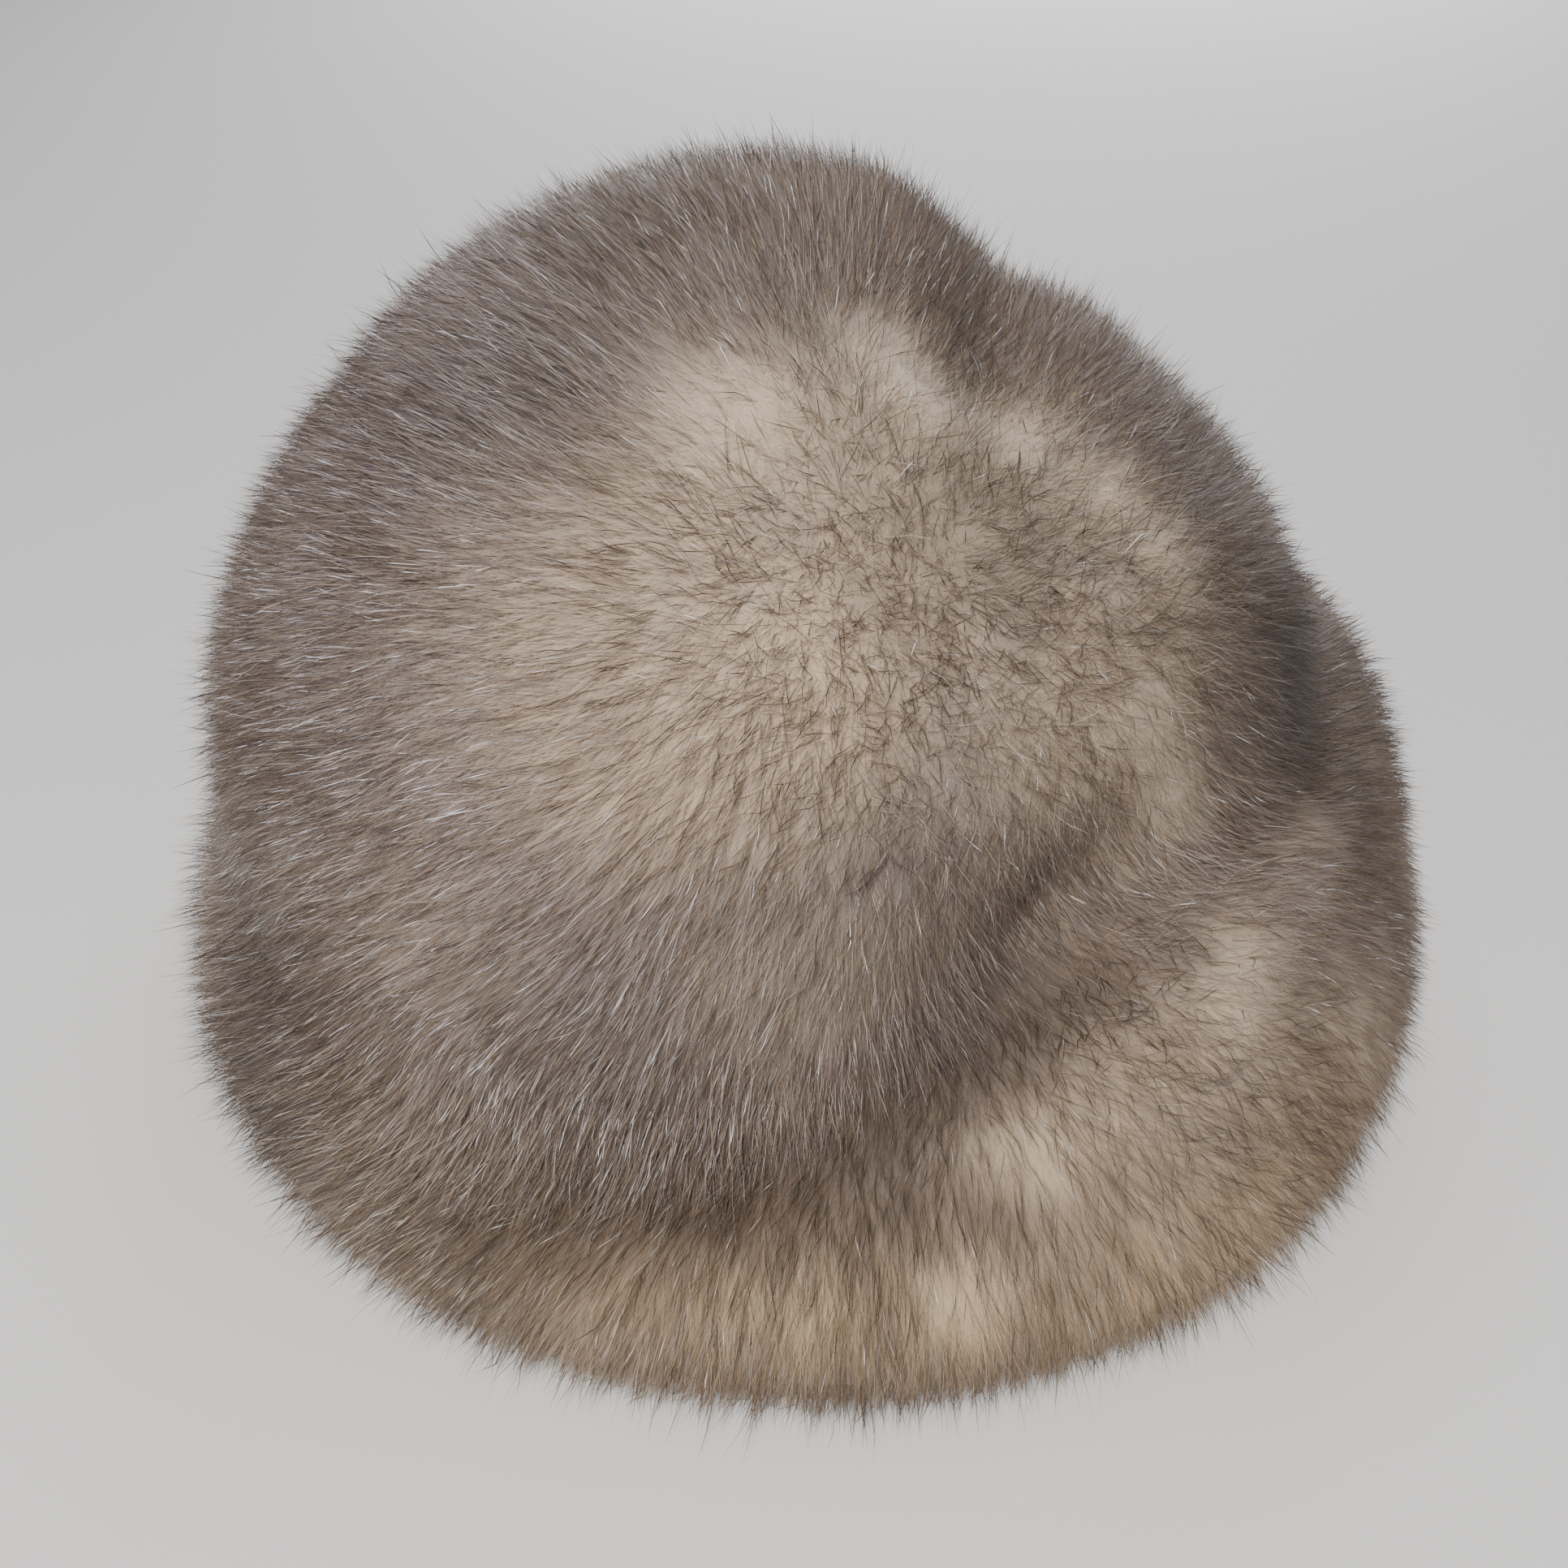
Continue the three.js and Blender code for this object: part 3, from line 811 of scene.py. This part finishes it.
def ribbons(name, root, normal, flow, side, kind, rng, clump):
    """A mesh of flat tapered hairs. clump gives each hair's group."""
    count = len(root)
    mess = mess_share(root)
    patch = spots_share(root, PATCHES)
    points, glint, bold = centre_lines(root, normal, flow, side, kind, rng, clump, mess, patch)
    normal = normal[:, None, :]
    way = unit(np.gradient(points, axis=1))
    outward = unit(normal - way * np.sum(normal * way, -1, keepdims=True))
    across = np.cross(way, outward)
    roll = np.radians(rng.uniform(-kind["roll"], kind["roll"], count))[:, None, None]
    flat = np.cos(roll) * across + np.sin(roll) * outward
    face = np.cross(flat, way)
    face *= np.sign(np.sum(face * outward, -1, keepdims=True))
    half = (kind["width"] / 2 * rng.uniform(*WIDTHS, count)[:, None]
            * (1 - TAPER * LINE_SHARES ** TAPER_POWER))
    widths = np.where(glint, GLINT_WIDTH, np.where(bold, BOLD_WIDTH, FINE_WIDTH))
    half = (half * widths[:, None])[..., None]
    left, right = points - flat * half, points + flat * half
    shine = unit(face + normal * kind["round"])
    left_normal, right_normal = unit(shine - EDGE_TURN * flat), unit(shine + EDGE_TURN * flat)
    body = np.stack([left[:, :-1], right[:, :-1]], 2).reshape(count, -1, 3)
    body_normal = np.stack([left_normal[:, :-1], right_normal[:, :-1]], 2).reshape(count, -1, 3)
    verts = np.concatenate([body, points[:, -1:]], 1)
    normals = np.concatenate([body_normal, shine[:, -1:]], 1)
    along = np.concatenate([np.repeat(LINE_SHARES[:-1], 2), [1.0]])
    tone = kind["tone"](rng, root=root, along=along, patch=patch, mess=mess, clump=clump,
                        glint=glint, bold=bold)
    corners = [[2 * k, 2 * k + 1, 2 * k + 3, 2 * k + 2] for k in range(STEPS - 1)]
    corners.append([2 * STEPS - 2, 2 * STEPS - 1, 2 * STEPS])
    start = (np.arange(count) * (2 * STEPS + 1))[:, None]
    loops = start + np.concatenate(corners)
    sizes = np.tile([len(c) for c in corners], count)
    return mesh_of(name, verts.reshape(-1, 3), loops.ravel(), sizes, tone.reshape(-1, 3),
                   kind["look"], normals.reshape(-1, 3))


def shell(name, rows, ends=None):
    """A closed shell of underfur from rings of points: its last ring meets its first, or two
    end points close it."""
    grid = np.stack(rows)
    ring_count, count = grid.shape[:2]
    place = grid.reshape(-1, 3)
    spans = ring_count if ends is None else ring_count - 1
    row, k = np.meshgrid(np.arange(spans), np.arange(count), indexing="ij")
    after = (row + 1) % ring_count
    ahead = (k + 1) % count
    quads = np.stack([row * count + k, after * count + k, after * count + ahead,
                      row * count + ahead], -1).reshape(-1, 4)
    loops, sizes = quads.ravel(), np.full(len(quads), 4)
    if ends is not None:
        first, last = len(place), len(place) + 1
        place = np.concatenate([place, ends])
        k = np.arange(count)
        ahead = (k + 1) % count
        top = np.stack([np.full(count, first), k, ahead], -1)
        base = (ring_count - 1) * count
        bottom = np.stack([np.full(count, last), base + ahead, base + k], -1)
        loops = np.concatenate([loops, top.ravel(), bottom.ravel()])
        sizes = np.concatenate([sizes, np.full(2 * count, 3)])
    patch = spots_share(place, PATCHES)
    grey = np.clip(SHELL_GREY + GREY_DRIFT * TONE_WAVES(place) + SHELL_MOTTLE * MOTTLE(place)
                   - PATCH_GREY * patch, 0, 1)
    tone = coat_tone(place, patch, grey) * SHELL_LIGHT
    return mesh_of(name, place, loops, sizes, tone, SKIN_LOOK)


# The shell: how far it stands out in millimetres, and its lumps of two sizes
SHELL_LIFT = 0.6
LUMPS_WIDE, LUMPS_FINE = 0.6, 0.4

# The crown's rings, outside and inside, and the brim's outside, with the first and last share
CROWN_OUTSIDE = np.linspace(0.02, 1.99, 70)
CROWN_INSIDE = np.linspace(1.99, 0.04, 30)
BRIM_OUTSIDE = np.linspace(0.0, 0.97, 44)
BRIM_LEAST_Z = 0.3
FOOT_PINCH = [0.985, 0.985, 1]
UNDERSIDE = (0.35, 0.7, 1.0)
AROUND = np.arange(0, 360, 1.5)


def lumpy(surface, along):
    """A ring of the shell's outside, standing a little out from the skin, with soft lumps."""
    at, normal, _, _ = skin_frame(surface, AROUND, along + 0 * AROUND)
    swell = LUMPS_WIDE * MOTTLE(at) + LUMPS_FINE * LEAN_FINE(at) + SEAM_FILL * seam_share(at)
    return at + normal * (swell + SHELL_LIFT)[..., None]


def head_point(azimuth, z):
    """The oval wall of the hollow for the head."""
    turn = np.radians(azimuth)
    r = 1 / np.hypot(np.cos(turn) / HEAD_HALF[0], np.sin(turn) / HEAD_HALF[1])
    return polar(azimuth, r, z + 0 * r)


crown_rows = [lumpy(crown_point, a) for a in CROWN_OUTSIDE]
crown_rows += [crown_point(AROUND, a, FUR_WALL) for a in CROWN_INSIDE]
tops = [WHORL_POINT + [0, 0, SHELL_LIFT], crown_point(0.0, 0.0, FUR_WALL)]
crown_shell = shell("crown_underfur", crown_rows, tops)

brim_rows = [lumpy(brim_point, a) for a in BRIM_OUTSIDE]
for line in brim_rows:
    line[..., 2] = np.maximum(line[..., 2], BRIM_LEAST_Z)
foot = brim_point(AROUND, 1.0)
foot[..., 2] = 0.0
brim_rows += [foot * FOOT_PINCH]
inside = head_point(AROUND, 0.0)
brim_rows += [foot + (inside - foot) * s for s in UNDERSIDE]
brim_rows += [head_point(AROUND, HEAD_BAND_Z)]
brim_rows += [seam_point(AROUND, FUR_WALL)]
brim_shell = shell("brim_underfur", brim_rows)

# How far the coat thins in a patch and at most, and how far where it lies open otherwise.
# A hair thins for its root and for what lies under this share of its length.
PATCH_THINS = 1.1
MOST_THINS = 0.93
OPEN_THINS = 0.48
MIDWAY = 0.5

# The share of all hairs that is made
SHARE = 1.0


def coat(name, surface, low, high, clumps, kind, seed, pieces):
    """Hair over a skin, in clumps of a few hairs each, cut into pieces by azimuth."""
    rng = np.random.default_rng(seed)
    azimuth, along = scattered(surface, low, high, int(clumps * SHARE), rng)
    order = np.argsort(azimuth, kind="stable")
    made = []
    for index, chosen in enumerate(np.array_split(order, pieces)):
        at, normal, flow, side = skin_frame(surface, azimuth[chosen], along[chosen])
        clump = np.repeat(np.arange(len(chosen)), kind["clump"])
        count = len(clump)
        offset = rng.normal(0, kind["spread"], (count, 2))
        normal, flow, side = normal[clump], flow[clump], side[clump]
        root = at[clump] + offset[:, :1] * flow + offset[:, 1:] * side
        root += normal * (SEAM_FILL * seam_share(root) - kind["depth"])[:, None]
        over = spots_share(root + flow * MIDWAY * kind["length"], PATCHES)
        bare = PATCH_THINS * np.maximum(spots_share(root, PATCHES), over)
        opened = OPEN_THINS * open_share(root) * (1 - mess_share(root))
        bare = np.maximum(np.minimum(bare, MOST_THINS), opened)
        keep = rng.random(count) > bare * kind["thins"]
        clump = np.unique(clump[keep], return_inverse=True)[1]
        parts = (v[keep] for v in (root, normal, flow, side))
        made.append(ribbons(f"{name}_{index + 1}", *parts, kind, rng, clump))
    return made


# Name, skin, the first and last share of it with hair, clumps, kind, seed and pieces
crown_hair = coat("crown_guard_hair", crown_point, 0.012, 1.97, 53000, GUARD, 101, 2)
crown_hair += coat("crown_under_hair", crown_point, 0.012, 1.98, 16500, UNDER, 102, 2)
brim_hair = coat("brim_guard_hair", brim_point, 0.02, 0.93, 26000, GUARD, 103, 1)
brim_hair += coat("brim_under_hair", brim_point, 0.02, 0.95, 8300, UNDER, 104, 1)

for node, pieces in (("crown", [crown_shell, *crown_hair]), ("brim", [brim_shell, *brim_hair])):
    for piece in pieces:
        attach(piece, "root")
        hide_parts(node)

# The floor, the camera and the light, in metres
FLOOR_REACH = 4.0
FLOOR_COLOUR = (0.72, 0.71, 0.70, 1)
FLOOR_ROUGHNESS = 0.8
floor_mesh = bpy.data.meshes.new("floor")
corners = [(x * FLOOR_REACH, y * FLOOR_REACH, 0) for x, y in ((-1, -1), (1, -1), (1, 1), (-1, 1))]
floor_mesh.from_pydata(corners, [], [(0, 1, 2, 3)])
floor = bpy.data.objects.new("floor", floor_mesh)
link(floor)
floor_look = bpy.data.materials.new("plain_floor")
floor_look.use_nodes = True
floor_shader = floor_look.node_tree.nodes["Principled BSDF"]
floor_shader.inputs["Base Color"].default_value = FLOOR_COLOUR
floor_shader.inputs["Roughness"].default_value = FLOOR_ROUGHNESS
floor.data.materials.append(floor_look)

CAMERA_AT = np.array([-6.61, -268.89, 257.0]) * MM
CAMERA_DOWN = 39.6
CAMERA_LENS = 37.27
CAMERA_SENSOR = 36
CAMERA_NEAREST = 0.01
camera = bpy.data.objects.new("camera", bpy.data.cameras.new("camera"))
camera.location = CAMERA_AT
camera.rotation_euler = (math.radians(90 - CAMERA_DOWN), 0, 0)
camera.data.lens = CAMERA_LENS
camera.data.sensor_width = CAMERA_SENSOR
camera.data.clip_start = CAMERA_NEAREST
link(camera)
bpy.context.scene.camera = camera

# Name, place, size, power and colour of each soft light, all turned to one point in the hat
LIGHTS = [
    ("key", (-0.12, -0.62, 0.72), 0.2, 11.5, (1.0, 0.97, 0.94)),
    ("fill", (-0.9, -0.1, 0.8), 0.8, 1.2, (0.90, 0.94, 1.0)),
    ("right", (0.95, 0.15, 0.45), 0.7, 1.2, (0.92, 0.95, 1.0)),
    ("back", (0.15, 1.0, 0.42), 0.8, 8.5, (0.95, 0.96, 1.0)),
]
LIT_POINT = np.array([0, 0, 0.06])
SKY_COLOUR = (0.80, 0.82, 0.86, 1)
SKY_STRENGTH = 0.30

for name, at, size, power, colour in LIGHTS:
    data = bpy.data.lights.new(name, "AREA")
    data.energy, data.size, data.color = power, size, colour
    lamp = bpy.data.objects.new(name, data)
    lamp.location = at
    away = LIT_POINT - np.array(at, float)
    lamp.rotation_euler = (math.atan2(math.hypot(away[0], away[1]), -away[2]), 0,
                           math.atan2(away[1], away[0]) - math.pi / 2)
    link(lamp)

sky = bpy.data.worlds.new("sky")
sky.use_nodes = True
background = sky.node_tree.nodes["Background"]
background.inputs["Color"].default_value = SKY_COLOUR
background.inputs["Strength"].default_value = SKY_STRENGTH
bpy.context.scene.world = sky
